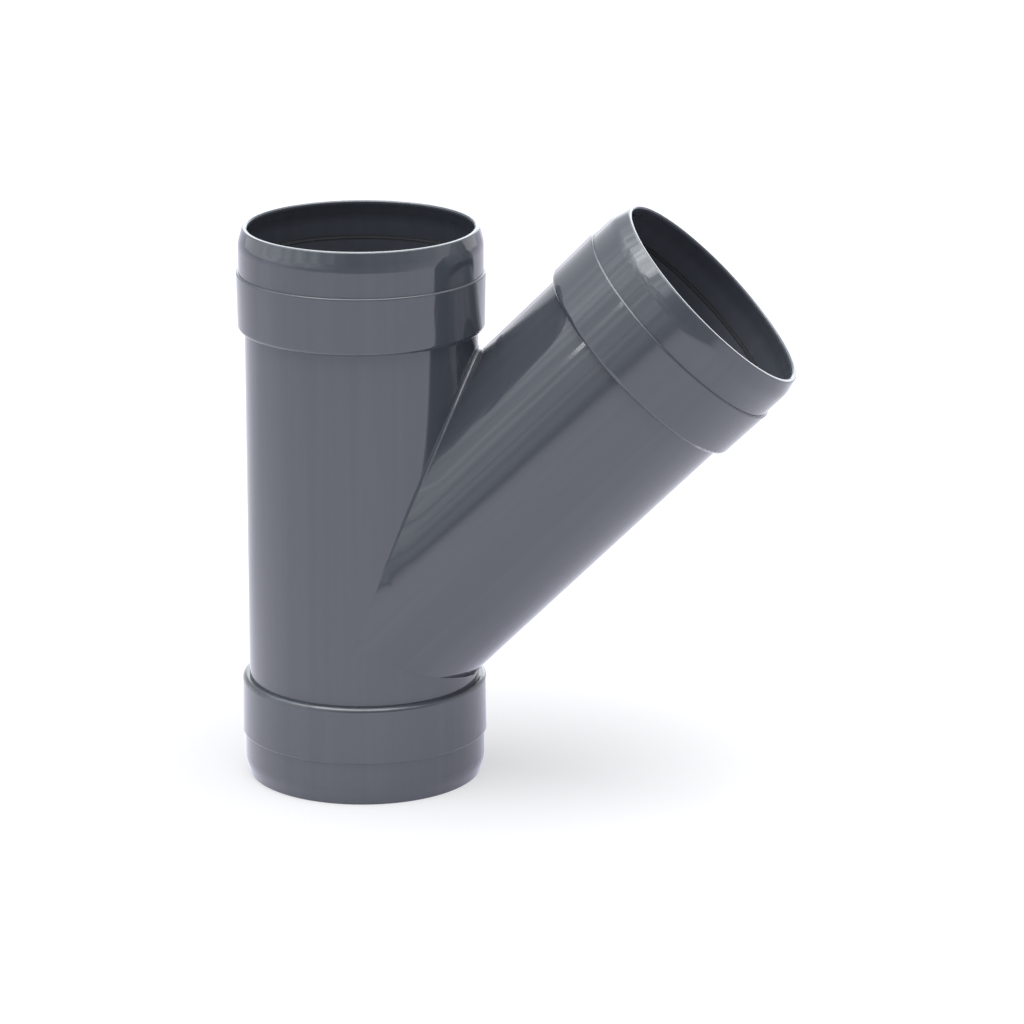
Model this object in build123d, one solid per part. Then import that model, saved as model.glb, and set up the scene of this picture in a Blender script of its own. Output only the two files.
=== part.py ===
from build123d import *
import os
from math import cos, radians, sin, tan

# Equal 45 degree push-in Y connector for 110 mm drain pipe, moulded in one piece of PVC-U.
# Millimetres, +Z up. The origin is the centre of the lower mouth, the run's axis is +Z, and the
# branch leaves the run towards +X, in the plane Y = 0.
# The moulding is built as it is made: a skin for the outside, a core for the hollow inside, and the
# wall is what is left between them.

# Pipe and its fit in a socket
PIPE_OD = 110.0
FIT_GAP = 0.4                   # how much wider the mouth and the guide bore are than the pipe
STOP_STEP = 1.3                 # radial height of the shoulder that the pipe's end meets
BARREL_WALL = 3.2               # wall of the run and the branch between their sockets

# Socket, measured from its mouth plane inwards
LIP_WALL = 2.4                  # width of the flat ring at the mouth
LIP_ANGLE = 16.0                # slope of the curled-in lip, degrees from the axis
COLLAR_WALL = 2.4               # wall round the chamber behind the lip
COLLAR_RISE = 2.2               # how far the collar stands out past the lip's outer edge
COLLAR_LENGTH = 21.8            # mouth plane to the band
CHAMBER_LENGTH = 18.4           # mouth plane to the chamber's inner end
CHAMBER_BACK_ANGLE = 75.0       # slope of the shoulder behind the chamber, degrees from the axis
MOUTH_LAND_LENGTH = 1.5         # straight bore just inside the mouth
BAND_STEP = 1.1                 # height of the band over the collar
BAND_LENGTH = 28.5
BAND_DRAFT = 1.0                # the band narrows towards the barrel by this angle, in degrees

# Where the branch sits on the run. The heel is the lowest point of the crease between the two barrels,
# and the crotch is its highest.
BRANCH_ANGLE = 45.0             # between the run's axis and the branch's, in degrees
BRANCH_DRAFT = 0.15             # the branch barrel narrows towards the crossing, in degrees
LOWER_STOP_TO_HEEL = 3.15       # plain wall of the run below the heel
CROTCH_TO_UPPER_STOP = 11.75    # plain wall of the run above the crotch
CROTCH_TO_BRANCH_STOP = 54.55   # plain wall of the branch above the crotch

# Edges
LIP_EDGE_RADIUS = 0.8           # rounding of the lip's outer edge
MOUTH_EDGE_RADIUS = 0.6         # rounding of the lip's inner edge
LIP_BLEND_RADIUS = 15.0         # the lip curves into the collar with this radius
BAND_EDGE_RADIUS = 0.9          # rounding of the band's edge towards the mouth
BAND_END_RADIUS = 2.4           # rounding of the band's other edge, over the stop
CHAMBER_CORNER_RADIUS = 0.8     # soft inner corner of the chamber
CREASE_RADIUS = 1.6             # outside, where the branch meets the run
INNER_CREASE_RADIUS = 0.8       # inside, where the two bores meet

# Worked out from the above
mouth_radius = (PIPE_OD + FIT_GAP) / 2
bore_radius = mouth_radius - STOP_STEP
barrel_radius = bore_radius + BARREL_WALL
lip_radius = mouth_radius + LIP_WALL
collar_radius = lip_radius + COLLAR_RISE
chamber_radius = collar_radius - COLLAR_WALL
band_radius = collar_radius + BAND_STEP
band_back_radius = band_radius - BAND_LENGTH * tan(radians(BAND_DRAFT))
socket_depth = COLLAR_LENGTH + BAND_LENGTH
heel_drop = barrel_radius * tan(radians(BRANCH_ANGLE / 2))
crotch_rise = barrel_radius / tan(radians(BRANCH_ANGLE / 2))
crossing_height = socket_depth + LOWER_STOP_TO_HEEL + heel_drop
upper_stop_height = crossing_height + crotch_rise + CROTCH_TO_UPPER_STOP
run_length = upper_stop_height + socket_depth
crossing_to_branch_stop = crotch_rise + CROTCH_TO_BRANCH_STOP
branch_length = crossing_to_branch_stop + socket_depth
draft_loss = crossing_to_branch_stop * tan(radians(BRANCH_DRAFT))
band_rounding = min(BAND_EDGE_RADIUS, 0.9 * BAND_STEP)  # a step can't be rounded by more than its height
core_overrun = MOUTH_LAND_LENGTH  # the core sticks out of the mouth by this, so that it cuts it open


def revolved(corners):
    """Solid turned round Z from the outline through corners (radius, height, rounding)."""
    points = [(radius, height) for radius, height, rounding in corners]
    roundings = [rounding for radius, height, rounding in corners]
    outline = FilletPolyline(*points, radius=roundings, close=True)
    return revolve(Plane.XZ * make_face(outline), Axis.Z)


def socket_skin():
    """Outside of one socket, filled solid, with its mouth plane at Z = 0 and facing +Z."""
    collar_start = COLLAR_RISE / tan(radians(LIP_ANGLE))
    return revolved([
        (0, 0, 0),
        (lip_radius, 0, LIP_EDGE_RADIUS),
        (collar_radius, -collar_start, LIP_BLEND_RADIUS),
        (collar_radius, -COLLAR_LENGTH, 0),
        (band_radius, -COLLAR_LENGTH, band_rounding),
        (band_back_radius, -socket_depth, BAND_END_RADIUS),
        (0, -socket_depth, 0),
    ])


def socket_core():
    """Hollow inside of one socket: mouth, chamber behind the lip, guide bore down to the pipe stop."""
    flare_length = (chamber_radius - mouth_radius) / tan(radians(LIP_ANGLE))
    back_length = (chamber_radius - mouth_radius) / tan(radians(CHAMBER_BACK_ANGLE))
    return revolved([
        (0, core_overrun, 0),
        (mouth_radius + MOUTH_EDGE_RADIUS, core_overrun, 0),
        (mouth_radius + MOUTH_EDGE_RADIUS, 0, 0),
        (mouth_radius, -MOUTH_EDGE_RADIUS, MOUTH_EDGE_RADIUS / 2),
        (mouth_radius, -MOUTH_LAND_LENGTH, 0),
        (chamber_radius, -MOUTH_LAND_LENGTH - flare_length, LIP_BLEND_RADIUS),
        (chamber_radius, -CHAMBER_LENGTH, CHAMBER_CORNER_RADIUS),
        (mouth_radius, -CHAMBER_LENGTH - back_length, 0),
        (mouth_radius, -socket_depth, 0),
        (0, -socket_depth, 0),
    ])


def at_mouths(socket):
    """The three places of a socket: lower and upper end of the run, and the end of the branch."""
    tilt = radians(BRANCH_ANGLE)
    branch_mouth = (branch_length * sin(tilt), 0, crossing_height + branch_length * cos(tilt))
    lower = Rotation(180, 0, 0) * socket
    upper = Pos(0, 0, run_length) * socket
    branch = Pos(branch_mouth) * Rotation(0, BRANCH_ANGLE, 0) * socket
    return lower, upper, branch


def barrels(radius):
    """Run and branch tubes between the stops, filled solid, with the branch drafted to its mouth."""
    run_tube = revolved([
        (0, socket_depth, 0),
        (radius, socket_depth, 0),
        (radius, upper_stop_height, 0),
        (0, upper_stop_height, 0),
    ])
    branch_tube = revolved([
        (0, 0, 0),
        (radius - draft_loss, 0, 0),
        (radius, crossing_to_branch_stop, 0),
        (0, crossing_to_branch_stop, 0),
    ])
    branch_tube = Pos(0, 0, crossing_height) * Rotation(0, BRANCH_ANGLE, 0) * branch_tube
    return run_tube, branch_tube


def joined(socket, radius, blend):
    """Run and branch as one body, with the crease between the two tubes rounded by blend."""
    lower, upper, branch = at_mouths(socket)
    run_tube, branch_tube = barrels(radius)
    run = lower + run_tube + upper
    body = run + (branch_tube + branch)
    crease = [edge for edge in body.edges() if edge.geom_type not in (GeomType.LINE, GeomType.CIRCLE)]
    return fillet(crease, blend)


def y_connector():
    """The whole moulding."""
    skin = joined(socket_skin(), barrel_radius, CREASE_RADIUS)
    core = joined(socket_core(), bore_radius, INNER_CREASE_RADIUS)
    return skin - core


os.makedirs("parts", exist_ok=True)
connector = y_connector()
export_step(connector, "parts/y_connector.step")
print("run length", round(run_length, 2), "branch length", round(branch_length, 2))
print("volume", round(connector.volume), "solids", len(connector.solids()), "faces", len(connector.faces()))
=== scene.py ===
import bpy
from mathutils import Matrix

bl_info = {
    "name": "Moulded Y connector",
    "version": (1, 0, 0),
    "blender": (4, 5, 0),
    "location": "View3D > Sidebar > Y connector",
    "description": "Finishes a Y connector for 110 mm drain pipe in moulded PVC-U and sets its studio",
    "category": "Object",
}

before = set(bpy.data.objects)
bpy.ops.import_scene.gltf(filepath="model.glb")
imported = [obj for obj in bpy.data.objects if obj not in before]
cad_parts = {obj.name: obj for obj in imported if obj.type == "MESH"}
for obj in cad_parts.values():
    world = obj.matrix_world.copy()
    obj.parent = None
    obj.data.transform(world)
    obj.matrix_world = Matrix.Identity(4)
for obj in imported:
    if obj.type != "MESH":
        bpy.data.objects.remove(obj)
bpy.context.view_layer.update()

from math import cos, radians, sin

import bpy
from bpy.props import FloatProperty, PointerProperty, StringProperty
from mathutils import Matrix, Vector

NODE = "y_connector"
MM = 0.001

# The part's own measures, because the finish is patterned along both tubes. Heights on the run go from the
# lower mouth, and lengths on the branch from where the two axes cross.
CROSSING_HEIGHT = 77.1 * MM
RUN_LENGTH = 277.0 * MM
BRANCH_LENGTH = 242.7 * MM
BRANCH_TILT = radians(45)
BARREL_RADIUS = 57.1 * MM
LIP_INNER_EDGE = 55.5 * MM
CHAMBER_BACK = 18.7 * MM        # from a mouth in to the chamber's sloping back
CHAMBER_LIMIT = 58.3 * MM       # between the chamber's wall and the collar's skin
FOOT_RADIUS = 56.5 * MM         # what the lower lip covers of the floor

# Finish of the moulding
PVC_IOR = 1.54
STREAK_STRETCH = 40             # how far the melt's streaks are drawn out along a tube
RIPPLE_STRETCH = 1.6
PIGMENT_SPREAD = 0.04           # share by which the streaks are paler or darker
GLOSS_SPREAD = (0.85, 1.25)     # least and most roughness, as shares of the usual
NOISE_RANGE = (0.3, 0.7)        # most of a noise's values lie between these
TUBE_SEAM = 1 * MM              # half the width over which one tube's pattern gives way to the other's
LIP_BLUR = 0.3 * MM             # half the width over which the polish ends
# the painted shade and the duller gloss of the chamber's back corner fade out between these distances
CORNER_REACH = (0.5 * MM, 1.5 * MM)

# Light colours, written as linear values because some are brighter than white
WHITE = (1, 1, 1, 1)
PAPER_SHEEN = (0.94, 0.93, 1.14, 1)
ROOM_FLOOR = (0.45, 0.46, 0.48, 1)
DARK_WALL = (0.16, 0.17, 0.17, 1)
DARK_WALL_FOOT = (0.5, 0.52, 0.55, 1)
PALE_WALL = (0.98, 1.02, 1.08, 1)
PALE_WALL_FOOT = (1.6, 1.6, 1.7, 1)
EVEN_LIGHT = (0.94, 0.97, 1.08, 1)
LAMP_LIGHT = (0.93, 0.99, 1.02, 1)

# The paper's light near the object, where its weaker glow close to the object is painted shade, with
# distances in metres
GLOW_RISE = 0.35                # how much whiter the paper is away from the object than under it
GLOW_REACH = (0.03, 0.45)
BEHIND_DEPTH = (-0.08, 0.28)    # from where to where the paper counts as behind the object
SHEEN_LOSS = (0.64, 0.36)       # share of the sheen that is missing behind the object, close and far
SHEEN_REACH = (0.1, 0.9)
PAPER_END = (0.9, 3.0)
FRONT_BEARING = (-0.95, -0.3)   # straight in front is -1

# The room that the moulding mirrors: directions as azimuth and elevation in degrees, the edges of lights as
# cosines from their middle, and heights as sines above the horizon
WINDOW = (-60, 32)
WINDOW_EDGE = (0.55, 1.0)
BACK_LAMP = (180, 12)
BACK_LAMP_EDGE = (0.90, 0.985)
CEILING_HEIGHT = (0.5, 0.97)
PANE_SCALE = 9.0
PANE_RANGE = (0.35, 0.65)
PANE_LIGHT = (0.55, 1.45)       # least and most light of a patch of the window or the ceiling
WALL_EDGE = (-0.95, 0.15)       # from the darkest wall in front to the palest, as the sine of the bearing
WALL_PATCH_SCALE = 2.2
WALL_PATCH_SHIFT = 0.6
WALL_FOOT_HEIGHT = 0.3
WALL_FOOT_SHARE = 0.8

# The strip lamp's way from what it lights, and the places of both lamps, in metres
STRIP_LAMP = (-55.5, 23)
LIT_MIDDLE = Vector((60, 0, 140)) * MM
SOFTBOX_OFFSET = Vector((-0.05, -0.2, 1.65))
STRIP_AIM = Vector((125, -50, 245)) * MM
STRIP_DISTANCE = 2.2
STRIP_SIZE = (0.16, 0.011)
STRIP_POWER = 0.07

# Where the photograph was taken from, in degrees and metres
CAMERA_AZIMUTH = 7.132
CAMERA_ELEVATION = 16.356
CAMERA_AIM = Vector((73.856, 0, 135.096)) * MM

# Inputs of a Mix node that share a name: its two colours and its two numbers
COLOUR_A, COLOUR_B = 6, 7
NUMBER_A, NUMBER_B = 2, 3


def linear(hex_colour):
    """Turns an sRGB hex value into the linear colour that a shader takes."""
    digits = hex_colour.lstrip("#")
    channels = [int(digits[i:i + 2], 16) / 255 for i in (0, 2, 4)]
    return (*[c / 12.92 if c <= 0.04045 else ((c + 0.055) / 1.055) ** 2.4 for c in channels], 1.0)


def add(tree, kind, inputs=None, **settings):
    """Adds one shader node. Settings are its own options. Inputs are numbers, colours, sockets to link, or
    nodes, of which the first output in use is linked."""
    made = tree.nodes.new(kind)
    for option, value in settings.items():
        setattr(made, option, value)
    for name, value in (inputs or {}).items():
        if isinstance(value, bpy.types.Node):
            value = next(output for output in value.outputs if output.enabled)
        if isinstance(value, bpy.types.NodeSocket):
            tree.links.new(value, made.inputs[name])
        else:
            made.inputs[name].default_value = value
    return made


class MouldingSettings(bpy.types.PropertyGroup):
    """Colour and finish of the moulding."""

    body_tone: StringProperty(
        name="Body tone", description="Colour of the pigmented PVC-U, as sRGB hex", default="#4F535A")
    roughness: FloatProperty(
        name="Roughness", description="Roughness of the polished skin", default=0.06,
        min=0.0, max=1.0, subtype="FACTOR")
    flow_width: FloatProperty(
        name="Flow width", description="Width of the faint streaks that the melt leaves along each tube",
        default=7 * MM, min=0.5 * MM, max=50 * MM, unit="LENGTH")
    flow_height: FloatProperty(
        name="Flow height", description="Height of these streaks", default=0.009 * MM,
        min=0.0, max=1 * MM, unit="LENGTH")
    peel_width: FloatProperty(
        name="Peel width", description="Width of the fine dimples that the mould leaves in the skin",
        default=1.1 * MM, min=0.1 * MM, max=10 * MM, unit="LENGTH")
    peel_height: FloatProperty(
        name="Peel height", description="Height of these dimples", default=0.0016 * MM,
        min=0.0, max=1 * MM, unit="LENGTH")
    ripple_width: FloatProperty(
        name="Ripple width", description="Width of the shallow ripples across the polished skin",
        default=9 * MM, min=0.5 * MM, max=50 * MM, unit="LENGTH")
    ripple_height: FloatProperty(
        name="Ripple height", description="Height of these ripples", default=0.006 * MM,
        min=0.0, max=1 * MM, unit="LENGTH")
    inner_roughness: FloatProperty(
        name="Inner roughness", description="Roughness of the bores, which the mould's core leaves duller",
        default=0.4, min=0.0, max=1.0, subtype="FACTOR")
    # painted shade: how much of the colour is kept in the chamber's back corner, which is darkened there
    corner_shade_tone: FloatProperty(
        name="Corner tone", description="How much of the colour is left in the chamber's dusty back corner",
        default=0.12, min=0.0, max=1.0, subtype="FACTOR")
    sink_width: FloatProperty(
        name="Sink width", description="Width of the slow waves where the wall shrank as it cooled",
        default=45 * MM, min=5 * MM, max=200 * MM, unit="LENGTH")
    sink_height: FloatProperty(
        name="Sink height", description="Height of these waves", default=0.12 * MM,
        min=0.0, max=1 * MM, unit="LENGTH")


class StudioSettings(bpy.types.PropertyGroup):
    """Floor, room, lamps and camera."""

    floor_tone: StringProperty(
        name="Floor tone", description="Colour of the floor, as sRGB hex", default="#F4F4F6")
    floor_side: FloatProperty(
        name="Floor side", description="Length of the square floor's side", default=12.0, min=1.0,
        unit="LENGTH")
    floor_glow: FloatProperty(
        name="Floor glow", description="Light added to the floor where the camera sees it, so that it is "
        "white", default=0.57, min=0.0)
    shadow_share: FloatProperty(
        name="Shadow share", description="Share of the light and shadow on the floor that the camera sees",
        default=0.5, min=0.0, max=1.0, subtype="FACTOR")
    sheen_glow: FloatProperty(
        name="Sheen glow", description="Light added to the floor where the moulding mirrors it",
        default=0.9, min=0.0)
    room_level: FloatProperty(
        name="Room level", description="Strength of the light that comes from all round", default=0.35,
        min=0.0)
    window_glow: FloatProperty(
        name="Window glow", description="Strength of the broad soft light in front, to the left", default=1.1,
        min=0.0)
    window_share: FloatProperty(
        name="Window share", description="Share of the window's light that falls on the surfaces themselves",
        default=0.23, min=0.0, max=1.0, subtype="FACTOR")
    ceiling_glow: FloatProperty(
        name="Ceiling glow", description="Strength of the lit ceiling, as the moulding mirrors it",
        default=3.0, min=0.0)
    back_glow: FloatProperty(
        name="Back glow", description="Strength of the low lamp behind, as the lips mirror it", default=1.9,
        min=0.0)
    softbox_power: FloatProperty(
        name="Softbox", description="Power of the large lamp overhead", default=28.5, min=0.0, unit="POWER")
    softbox_side: FloatProperty(
        name="Softbox side", description="Length of the softbox's side", default=1.8, min=0.1,
        unit="LENGTH")
    lens: FloatProperty(
        name="Lens", description="Focal length on a 36 mm sensor", default=171.97, min=10.0, unit="CAMERA")
    distance: FloatProperty(
        name="Distance", description="Distance from the camera to the middle of the object", default=2.4,
        min=0.5, unit="LENGTH")


def along_tubes(tree):
    """Position in metres as it is, the same with Z along the nearer tube, the distance from that tube's axis,
    and 1 in the back corner of the chamber behind a lip."""
    place = add(tree, "ShaderNodeTexCoord").outputs["Object"]
    on_branch = add(tree, "ShaderNodeMapping", {
        "Vector": place, "Location": (0, 0, CROSSING_HEIGHT), "Rotation": (0, BRANCH_TILT, 0),
    }, vector_type="TEXTURE")
    height = add(tree, "ShaderNodeSeparateXYZ", {"Vector": place}).outputs["Z"]
    branch_height = add(tree, "ShaderNodeSeparateXYZ", {"Vector": on_branch}).outputs["Z"]
    flat = add(tree, "ShaderNodeVectorMath", {0: place, 1: (1, 1, 0)}, operation="MULTIPLY")
    reach = add(tree, "ShaderNodeVectorMath", {0: flat}, operation="LENGTH")
    flat = add(tree, "ShaderNodeVectorMath", {0: on_branch, 1: (1, 1, 0)}, operation="MULTIPLY")
    branch_reach = add(tree, "ShaderNodeVectorMath", {0: flat}, operation="LENGTH")

    # below the crossing the branch has no tube, so its line counts as further off there
    below = add(tree, "ShaderNodeMath", {0: branch_height, 1: 0.0}, operation="MINIMUM")
    square = add(tree, "ShaderNodeMath", {0: below, 1: below}, operation="MULTIPLY")
    branch_reach = add(tree, "ShaderNodeMath", {0: square, 1: 1 / BARREL_RADIUS, 2: branch_reach},
                       operation="MULTIPLY_ADD")

    nearer = add(tree, "ShaderNodeMath", {0: reach, 1: branch_reach}, operation="SUBTRACT")
    share = add(tree, "ShaderNodeMapRange", {
        "Value": nearer, "From Min": -TUBE_SEAM, "From Max": TUBE_SEAM}, interpolation_type="SMOOTHSTEP")
    along = add(tree, "ShaderNodeMix", {"Factor": share, COLOUR_A: place, COLOUR_B: on_branch},
                data_type="RGBA")
    radius = add(tree, "ShaderNodeMath", {0: reach, 1: branch_reach}, operation="MINIMUM")

    # how far the nearest chamber's back corner is: two on the run, one on the branch
    gaps = []
    for measured, corner in ((height, CHAMBER_BACK), (height, RUN_LENGTH - CHAMBER_BACK),
                             (branch_height, BRANCH_LENGTH - CHAMBER_BACK)):
        offset = add(tree, "ShaderNodeMath", {0: measured, 1: corner}, operation="SUBTRACT")
        gaps.append(add(tree, "ShaderNodeMath", {0: offset}, operation="ABSOLUTE"))
    run_gap = add(tree, "ShaderNodeMath", {0: gaps[0], 1: gaps[1]}, operation="MINIMUM")
    gap = add(tree, "ShaderNodeMix", {"Factor": share, NUMBER_A: run_gap, NUMBER_B: gaps[2]})
    near_corner = add(tree, "ShaderNodeMapRange", {
        "Value": gap, "From Min": CORNER_REACH[0], "From Max": CORNER_REACH[1], "To Min": 1, "To Max": 0,
    }, interpolation_type="SMOOTHSTEP")
    within = add(tree, "ShaderNodeMath", {0: radius, 1: CHAMBER_LIMIT}, operation="LESS_THAN")
    corner = add(tree, "ShaderNodeMath", {0: near_corner, 1: within}, operation="MULTIPLY")
    return place, along, radius, corner


def waves(tree, position, width, stretch=1.0, detail=2.0):
    """Noise whose bumps are about width across and stretch times as long along Z, from 0 to 1."""
    scale = (1 / width, 1 / width, 1 / (width * stretch))
    scaled = add(tree, "ShaderNodeVectorMath", {0: position, 1: scale}, operation="MULTIPLY")
    return add(tree, "ShaderNodeTexNoise", {"Vector": scaled, "Scale": 1.0, "Detail": detail})


def moulded_pvc_u(settings):
    """Rigid PVC-U, slate grey all through, injection moulded in a polished steel mould. It gives the eye an
    even dark body colour under a tight gloss. The melt's streaks run along each tube and draw the
    reflections out, slow sink waves bend them, and fine dimples keep the gloss from looking like glass."""
    material = bpy.data.materials.new("moulded_pvc_u")
    material.use_nodes = True
    tree = material.node_tree
    tree.nodes.clear()
    place, along, radius, corner = along_tubes(tree)

    streaks = waves(tree, along, settings.flow_width, stretch=STREAK_STRETCH, detail=3)
    sinks = waves(tree, place, settings.sink_width, detail=1)
    ripples = waves(tree, along, settings.ripple_width, stretch=RIPPLE_STRETCH, detail=2)
    peel = waves(tree, place, settings.peel_width, detail=1)
    clouds = waves(tree, place, settings.sink_width / 2, detail=3)

    # the pigment is a touch paler where the melt streamed
    tone = linear(settings.body_tone)
    darker = (*[c * (1 - PIGMENT_SPREAD) for c in tone[:3]], 1)
    paler = (*[c * (1 + PIGMENT_SPREAD) for c in tone[:3]], 1)
    streamed = add(tree, "ShaderNodeMapRange", {
        "Value": streaks, "From Min": NOISE_RANGE[0], "From Max": NOISE_RANGE[1],
    }, interpolation_type="SMOOTHSTEP")
    body = add(tree, "ShaderNodeMix", {"Factor": streamed, COLOUR_A: darker, COLOUR_B: paler},
               data_type="RGBA")

    # painted shade: the colour is darkened in the chamber's back corner, so that it shows dark in the mouths
    left = (*[settings.corner_shade_tone] * 3, 1)
    painted_corner_shade = add(tree, "ShaderNodeMix", {"Factor": corner, COLOUR_A: WHITE, COLOUR_B: left}, data_type="RGBA")
    body = add(tree, "ShaderNodeMix", {"Factor": 1.0, COLOUR_A: body, COLOUR_B: painted_corner_shade},
               data_type="RGBA", blend_type="MULTIPLY")

    # handling and the mould's own polish leave the gloss a little uneven
    least, most = [settings.roughness * share for share in GLOSS_SPREAD]
    gloss = add(tree, "ShaderNodeMapRange", {
        "Value": clouds, "From Min": NOISE_RANGE[0], "From Max": NOISE_RANGE[1],
        "To Min": least, "To Max": most,
    }, interpolation_type="SMOOTHSTEP")

    # the bores are duller than the polished skin, from the lip's inner edge inwards
    inside = add(tree, "ShaderNodeMapRange", {
        "Value": radius, "From Min": LIP_INNER_EDGE - LIP_BLUR, "From Max": LIP_INNER_EDGE + LIP_BLUR,
        "To Min": settings.inner_roughness, "To Max": 0,
    }, interpolation_type="SMOOTHSTEP")
    gloss = add(tree, "ShaderNodeMath", {0: gloss, 1: inside}, operation="MAXIMUM")
    gloss = add(tree, "ShaderNodeMath", {0: gloss, 1: corner}, operation="MAXIMUM")

    skin = add(tree, "ShaderNodeBump", {"Height": sinks, "Distance": settings.sink_height, "Strength": 1.0})
    for bumps, height in ((ripples, settings.ripple_height), (streaks, settings.flow_height),
                          (peel, settings.peel_height)):
        skin = add(tree, "ShaderNodeBump", {
            "Height": bumps, "Distance": height, "Strength": 1.0, "Normal": skin})
    shader = add(tree, "ShaderNodeBsdfPrincipled", {
        "Base Color": body, "Roughness": gloss, "IOR": PVC_IOR, "Normal": skin})
    add(tree, "ShaderNodeOutputMaterial", {"Surface": shader})
    return material


class YCONNECTOR_OT_finish_moulding(bpy.types.Operator):
    """Give the one-piece moulding its PVC-U"""

    bl_idname = "yconnector.finish_moulding"
    bl_label = "Finish the moulding"

    def execute(self, context):
        material = moulded_pvc_u(context.scene.moulding)
        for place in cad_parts[NODE].material_slots:
            place.material = material
        return {"FINISHED"}


def ray_kinds(tree):
    """1 where a camera or transmission ray looks, and 1 where a glossy ray looks, as two results."""
    path = add(tree, "ShaderNodeLightPath")
    seen = add(tree, "ShaderNodeMath", {
        0: path.outputs["Is Camera Ray"], 1: path.outputs["Is Transmission Ray"]}, operation="MAXIMUM")
    return seen, path.outputs["Is Glossy Ray"]


def pale_floor(settings):
    """Seamless white studio paper. It gives the eye a plain white ground with a soft shadow on it, and the
    moulding a cool white sheen from below."""
    material = bpy.data.materials.new("pale_floor")
    material.use_nodes = True
    tree = material.node_tree
    tree.nodes.clear()
    seen, mirrored = ray_kinds(tree)
    tone = linear(settings.floor_tone)
    faded = (*[c * settings.shadow_share for c in tone[:3]], 1)
    colour = add(tree, "ShaderNodeMix", {"Factor": seen, COLOUR_A: tone, COLOUR_B: faded}, data_type="RGBA")
    matt = add(tree, "ShaderNodeBsdfDiffuse", {"Color": colour})
    place = add(tree, "ShaderNodeTexCoord").outputs["Object"]
    depth = add(tree, "ShaderNodeSeparateXYZ", {"Vector": place}).outputs["Y"]
    away = add(tree, "ShaderNodeVectorMath", {0: place}, operation="LENGTH")

    # where the moulding mirrors the paper, it is lit less behind the object, and least close to it
    behind = add(tree, "ShaderNodeMapRange", {
        "Value": depth, "From Min": BEHIND_DEPTH[0], "From Max": BEHIND_DEPTH[1],
    }, interpolation_type="SMOOTHSTEP")
    missing = add(tree, "ShaderNodeMapRange", {
        "Value": away, "From Min": SHEEN_REACH[0], "From Max": SHEEN_REACH[1],
        "To Min": SHEEN_LOSS[0], "To Max": SHEEN_LOSS[1],
    }, interpolation_type="SMOOTHSTEP")
    missing = add(tree, "ShaderNodeMath", {0: behind, 1: missing}, operation="MULTIPLY")
    sheen = add(tree, "ShaderNodeMath", {0: 1.0, 1: missing}, operation="SUBTRACT")
    sheen = add(tree, "ShaderNodeMath", {0: sheen, 1: settings.sheen_glow}, operation="MULTIPLY")
    sheen = add(tree, "ShaderNodeMath", {0: mirrored, 1: sheen}, operation="MULTIPLY")

    # where the camera sees it, it gets less glow close to the object, a painted shade round its foot; inside
    # the lower lip it gets no glow at all, seen or mirrored, a painted shade inside the tube
    white = add(tree, "ShaderNodeMapRange", {
        "Value": away, "From Min": GLOW_REACH[0], "From Max": GLOW_REACH[1],
        "To Min": settings.floor_glow, "To Max": settings.floor_glow + GLOW_RISE,
    }, interpolation_type="SMOOTHSTEP")
    level = add(tree, "ShaderNodeMath", {0: seen, 1: white, 2: sheen}, operation="MULTIPLY_ADD")
    # painted shade: the paper inside the lower lip gets no glow, so the tube's inside stays dark
    outside = add(tree, "ShaderNodeMath", {0: away, 1: FOOT_RADIUS}, operation="GREATER_THAN")
    level = add(tree, "ShaderNodeMath", {0: level, 1: outside}, operation="MULTIPLY")
    tint = add(tree, "ShaderNodeMix", {"Factor": mirrored, COLOUR_A: WHITE, COLOUR_B: PAPER_SHEEN},
               data_type="RGBA")
    glow = add(tree, "ShaderNodeEmission", {"Color": tint, "Strength": level})
    paper = add(tree, "ShaderNodeAddShader", {0: matt, 1: glow})

    # in front it is mirrored only as far as the paper goes, and then the dim room's floor
    bearing = add(tree, "ShaderNodeMath", {0: depth, 1: away}, operation="DIVIDE")
    front = add(tree, "ShaderNodeMapRange", {
        "Value": bearing, "From Min": FRONT_BEARING[0], "From Max": FRONT_BEARING[1],
        "To Min": 1, "To Max": 0,
    }, interpolation_type="SMOOTHSTEP")
    past = add(tree, "ShaderNodeMapRange", {
        "Value": away, "From Min": PAPER_END[0], "From Max": PAPER_END[1], "To Max": mirrored,
    }, interpolation_type="SMOOTHSTEP")
    past = add(tree, "ShaderNodeMath", {0: front, 1: past}, operation="MULTIPLY")
    dim = add(tree, "ShaderNodeEmission", {"Color": ROOM_FLOOR, "Strength": 1.0})
    surface = add(tree, "ShaderNodeMixShader", {0: past, 1: paper, 2: dim})
    add(tree, "ShaderNodeOutputMaterial", {"Surface": surface})
    return material


def direction(azimuth, elevation):
    """Unit vector towards azimuth and elevation in degrees. Azimuth 0 is towards -Y, 90 towards +X."""
    across, rise = radians(azimuth), radians(elevation)
    return Vector((sin(across) * cos(rise), -cos(across) * cos(rise), sin(rise)))


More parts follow.
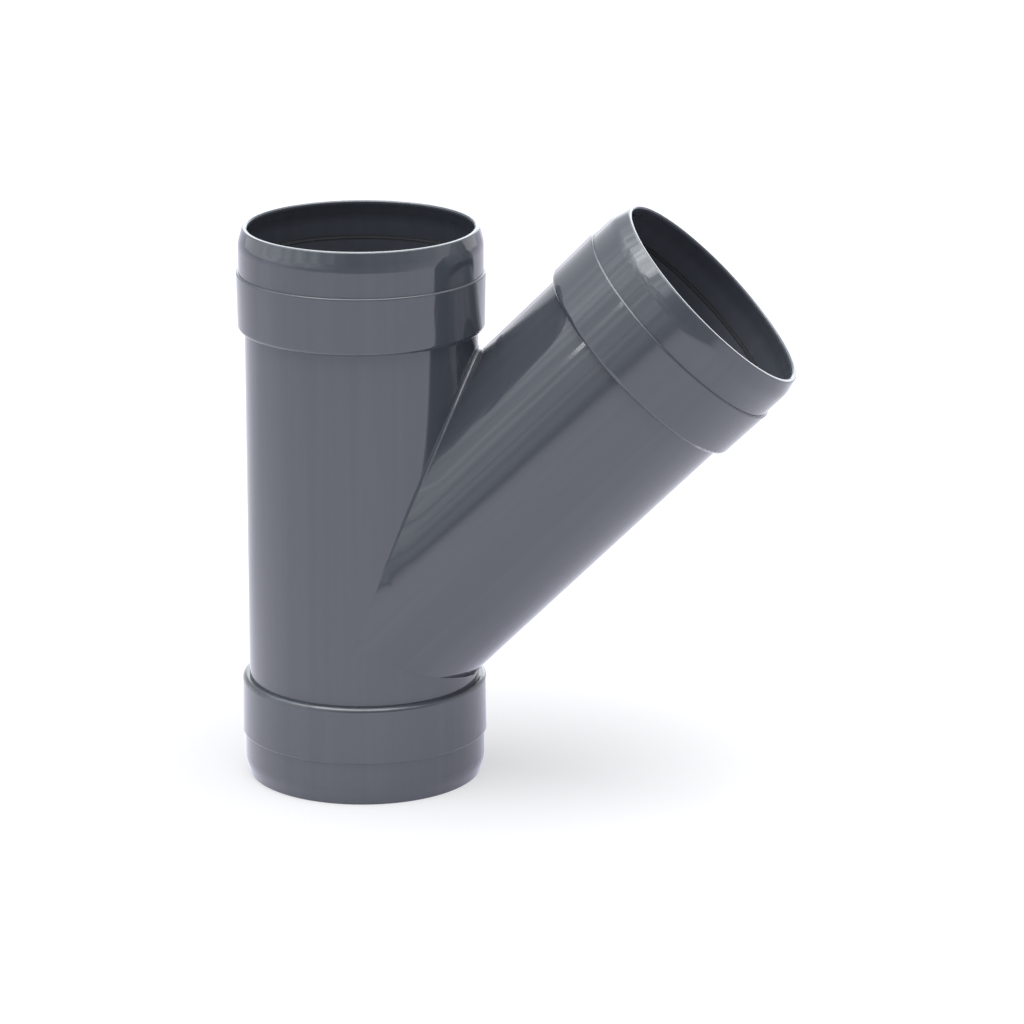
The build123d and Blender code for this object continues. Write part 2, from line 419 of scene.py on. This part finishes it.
def white_room(settings):
    """White for the camera, an even light for the surfaces, and a dim unlit room in their reflections."""
    world = bpy.data.worlds.new("white_room")
    world.use_nodes = True
    tree = world.node_tree
    tree.nodes.clear()
    seen, mirrored = ray_kinds(tree)
    way = add(tree, "ShaderNodeTexCoord").outputs["Generated"]
    axes = add(tree, "ShaderNodeSeparateXYZ", {"Vector": way}).outputs

    # the walls are dark in front and pale behind, with uneven edges, and paler at their foot
    patches = add(tree, "ShaderNodeTexNoise", {"Vector": way, "Scale": WALL_PATCH_SCALE, "Detail": 2.0})
    patches = add(tree, "ShaderNodeMath", {0: patches, 1: 0.5}, operation="SUBTRACT")
    behind = add(tree, "ShaderNodeMath", {0: patches, 1: WALL_PATCH_SHIFT, 2: axes["Y"]},
                 operation="MULTIPLY_ADD")
    behind = add(tree, "ShaderNodeMapRange", {
        "Value": behind, "From Min": WALL_EDGE[0], "From Max": WALL_EDGE[1]})
    wall = add(tree, "ShaderNodeMix", {"Factor": behind, COLOUR_A: DARK_WALL, COLOUR_B: PALE_WALL},
               data_type="RGBA")
    foot = add(tree, "ShaderNodeMix", {"Factor": behind, COLOUR_A: DARK_WALL_FOOT, COLOUR_B: PALE_WALL_FOOT},
               data_type="RGBA")
    low = add(tree, "ShaderNodeMapRange", {
        "Value": axes["Z"], "From Min": 0, "From Max": WALL_FOOT_HEIGHT,
        "To Min": WALL_FOOT_SHARE, "To Max": 0,
    }, interpolation_type="SMOOTHSTEP")
    wall = add(tree, "ShaderNodeMix", {"Factor": low, COLOUR_A: wall, COLOUR_B: foot}, data_type="RGBA")

    # a window in front, to the left, and the ceiling round the softbox, both uneven
    window = add(tree, "ShaderNodeVectorMath", {0: way, 1: direction(*WINDOW)}, operation="DOT_PRODUCT")
    window = add(tree, "ShaderNodeMapRange", {
        "Value": window, "From Min": WINDOW_EDGE[0], "From Max": WINDOW_EDGE[1],
        "To Max": settings.window_glow,
    }, interpolation_type="SMOOTHSTEP")
    ceiling = add(tree, "ShaderNodeMapRange", {
        "Value": axes["Z"], "From Min": CEILING_HEIGHT[0], "From Max": CEILING_HEIGHT[1],
        "To Max": settings.ceiling_glow,
    }, interpolation_type="SMOOTHSTEP")
    panes = add(tree, "ShaderNodeTexNoise", {"Vector": way, "Scale": PANE_SCALE, "Detail": 3.0})
    panes = add(tree, "ShaderNodeMapRange", {
        "Value": panes, "From Min": PANE_RANGE[0], "From Max": PANE_RANGE[1],
        "To Min": PANE_LIGHT[0], "To Max": PANE_LIGHT[1],
    }, interpolation_type="SMOOTHSTEP")
    lit = add(tree, "ShaderNodeMath", {0: window, 1: ceiling}, operation="ADD")

    # a low lamp behind, which only the lips and the bands' ends mirror
    back = add(tree, "ShaderNodeVectorMath", {0: way, 1: direction(*BACK_LAMP)}, operation="DOT_PRODUCT")
    back = add(tree, "ShaderNodeMapRange", {
        "Value": back, "From Min": BACK_LAMP_EDGE[0], "From Max": BACK_LAMP_EDGE[1],
        "To Max": settings.back_glow,
    }, interpolation_type="SMOOTHSTEP")
    lit = add(tree, "ShaderNodeMath", {0: lit, 1: panes, 2: back}, operation="MULTIPLY_ADD")

    even = add(tree, "ShaderNodeMath", {0: window, 1: settings.window_share, 2: settings.room_level},
               operation="MULTIPLY_ADD")
    even = add(tree, "ShaderNodeBackground", {"Color": EVEN_LIGHT, "Strength": even})
    wall = add(tree, "ShaderNodeBackground", {"Color": wall, "Strength": 1.0})
    lamps = add(tree, "ShaderNodeBackground", {"Color": LAMP_LIGHT, "Strength": lit})
    mirror = add(tree, "ShaderNodeAddShader", {0: wall, 1: lamps})
    white = add(tree, "ShaderNodeBackground", {"Color": WHITE, "Strength": 1.0})
    mixed = add(tree, "ShaderNodeMixShader", {0: mirrored, 1: even, 2: mirror})
    mixed = add(tree, "ShaderNodeMixShader", {0: seen, 1: mixed, 2: white})
    add(tree, "ShaderNodeOutputWorld", {"Surface": mixed})
    return world


def put(scene, name, data, place, aim, upward=(0, 0, 1)):
    """Puts a lamp or a camera at place and turns it towards aim, with its own Y as near upward as can be."""
    back = (Vector(place) - Vector(aim)).normalized()
    right = Vector(upward).cross(back).normalized()
    turn = Matrix((right, back.cross(right), back)).transposed().to_4x4()
    thing = bpy.data.objects.new(name, data)
    thing.matrix_world = Matrix.Translation(place) @ turn
    scene.collection.objects.link(thing)
    return thing


def hang_lamp(scene, name, place, aim, size, power, upward=(0, 0, 1)):
    """Hangs one rectangular lamp, size[0] across and size[1] along upward."""
    lamp = bpy.data.lights.new(name, "AREA")
    lamp.shape = "RECTANGLE"
    lamp.size, lamp.size_y = size
    lamp.energy = power
    return put(scene, name, lamp, place, aim, upward)


def place_camera(scene, settings):
    """Camera as the photograph was taken: a long lens at little more than two metres."""
    view = bpy.data.cameras.new("camera")
    view.sensor_width = 36.0
    view.lens = settings.lens
    view.clip_start, view.clip_end = 0.1, 100.0
    place = CAMERA_AIM + direction(CAMERA_AZIMUTH, CAMERA_ELEVATION) * settings.distance
    scene.camera = put(scene, "camera", view, place, CAMERA_AIM)


class YCONNECTOR_OT_set_studio(bpy.types.Operator):
    """Lay the pale floor, hang the lamps and place the camera"""

    bl_idname = "yconnector.set_studio"
    bl_label = "Set the studio"

    def execute(self, context):
        scene = context.scene
        settings = scene.studio
        half = settings.floor_side / 2
        corners = [(-half, -half, 0), (half, -half, 0), (half, half, 0), (-half, half, 0)]
        sheet = bpy.data.meshes.new("floor")
        sheet.from_pydata(corners, [], [(0, 1, 2, 3)])
        sheet.materials.append(pale_floor(settings))
        floor = bpy.data.objects.new("floor", sheet)
        scene.collection.objects.link(floor)
        scene.world = white_room(settings)
        side = settings.softbox_side
        hang_lamp(scene, "softbox", LIT_MIDDLE + SOFTBOX_OFFSET, LIT_MIDDLE, (side, side),
                  settings.softbox_power)
        hang_lamp(scene, "strip_lamp", STRIP_AIM + direction(*STRIP_LAMP) * STRIP_DISTANCE, STRIP_AIM,
                  STRIP_SIZE, STRIP_POWER, upward=(sin(BRANCH_TILT), 0, cos(BRANCH_TILT)))
        scene.view_settings.view_transform = "Standard"
        place_camera(scene, settings)
        return {"FINISHED"}


class YCONNECTOR_PT_panel(bpy.types.Panel):
    """Lists the steps in the sidebar"""

    bl_idname = "YCONNECTOR_PT_panel"
    bl_label = "Y connector"
    bl_space_type = "VIEW_3D"
    bl_region_type = "UI"
    bl_category = "Y connector"

    def draw(self, context):
        for operator in OPERATORS:
            self.layout.operator(operator.bl_idname)


OPERATORS = (YCONNECTOR_OT_finish_moulding, YCONNECTOR_OT_set_studio)
CLASSES = (MouldingSettings, StudioSettings, *OPERATORS, YCONNECTOR_PT_panel)


def register():
    for cls in CLASSES:
        bpy.utils.register_class(cls)
    bpy.types.Scene.moulding = PointerProperty(type=MouldingSettings)
    bpy.types.Scene.studio = PointerProperty(type=StudioSettings)


def unregister():
    del bpy.types.Scene.studio
    del bpy.types.Scene.moulding
    for cls in reversed(CLASSES):
        bpy.utils.unregister_class(cls)


def main():
    register()
    bpy.ops.yconnector.finish_moulding()
    bpy.ops.yconnector.set_studio()


if __name__ == "__main__":
    main()
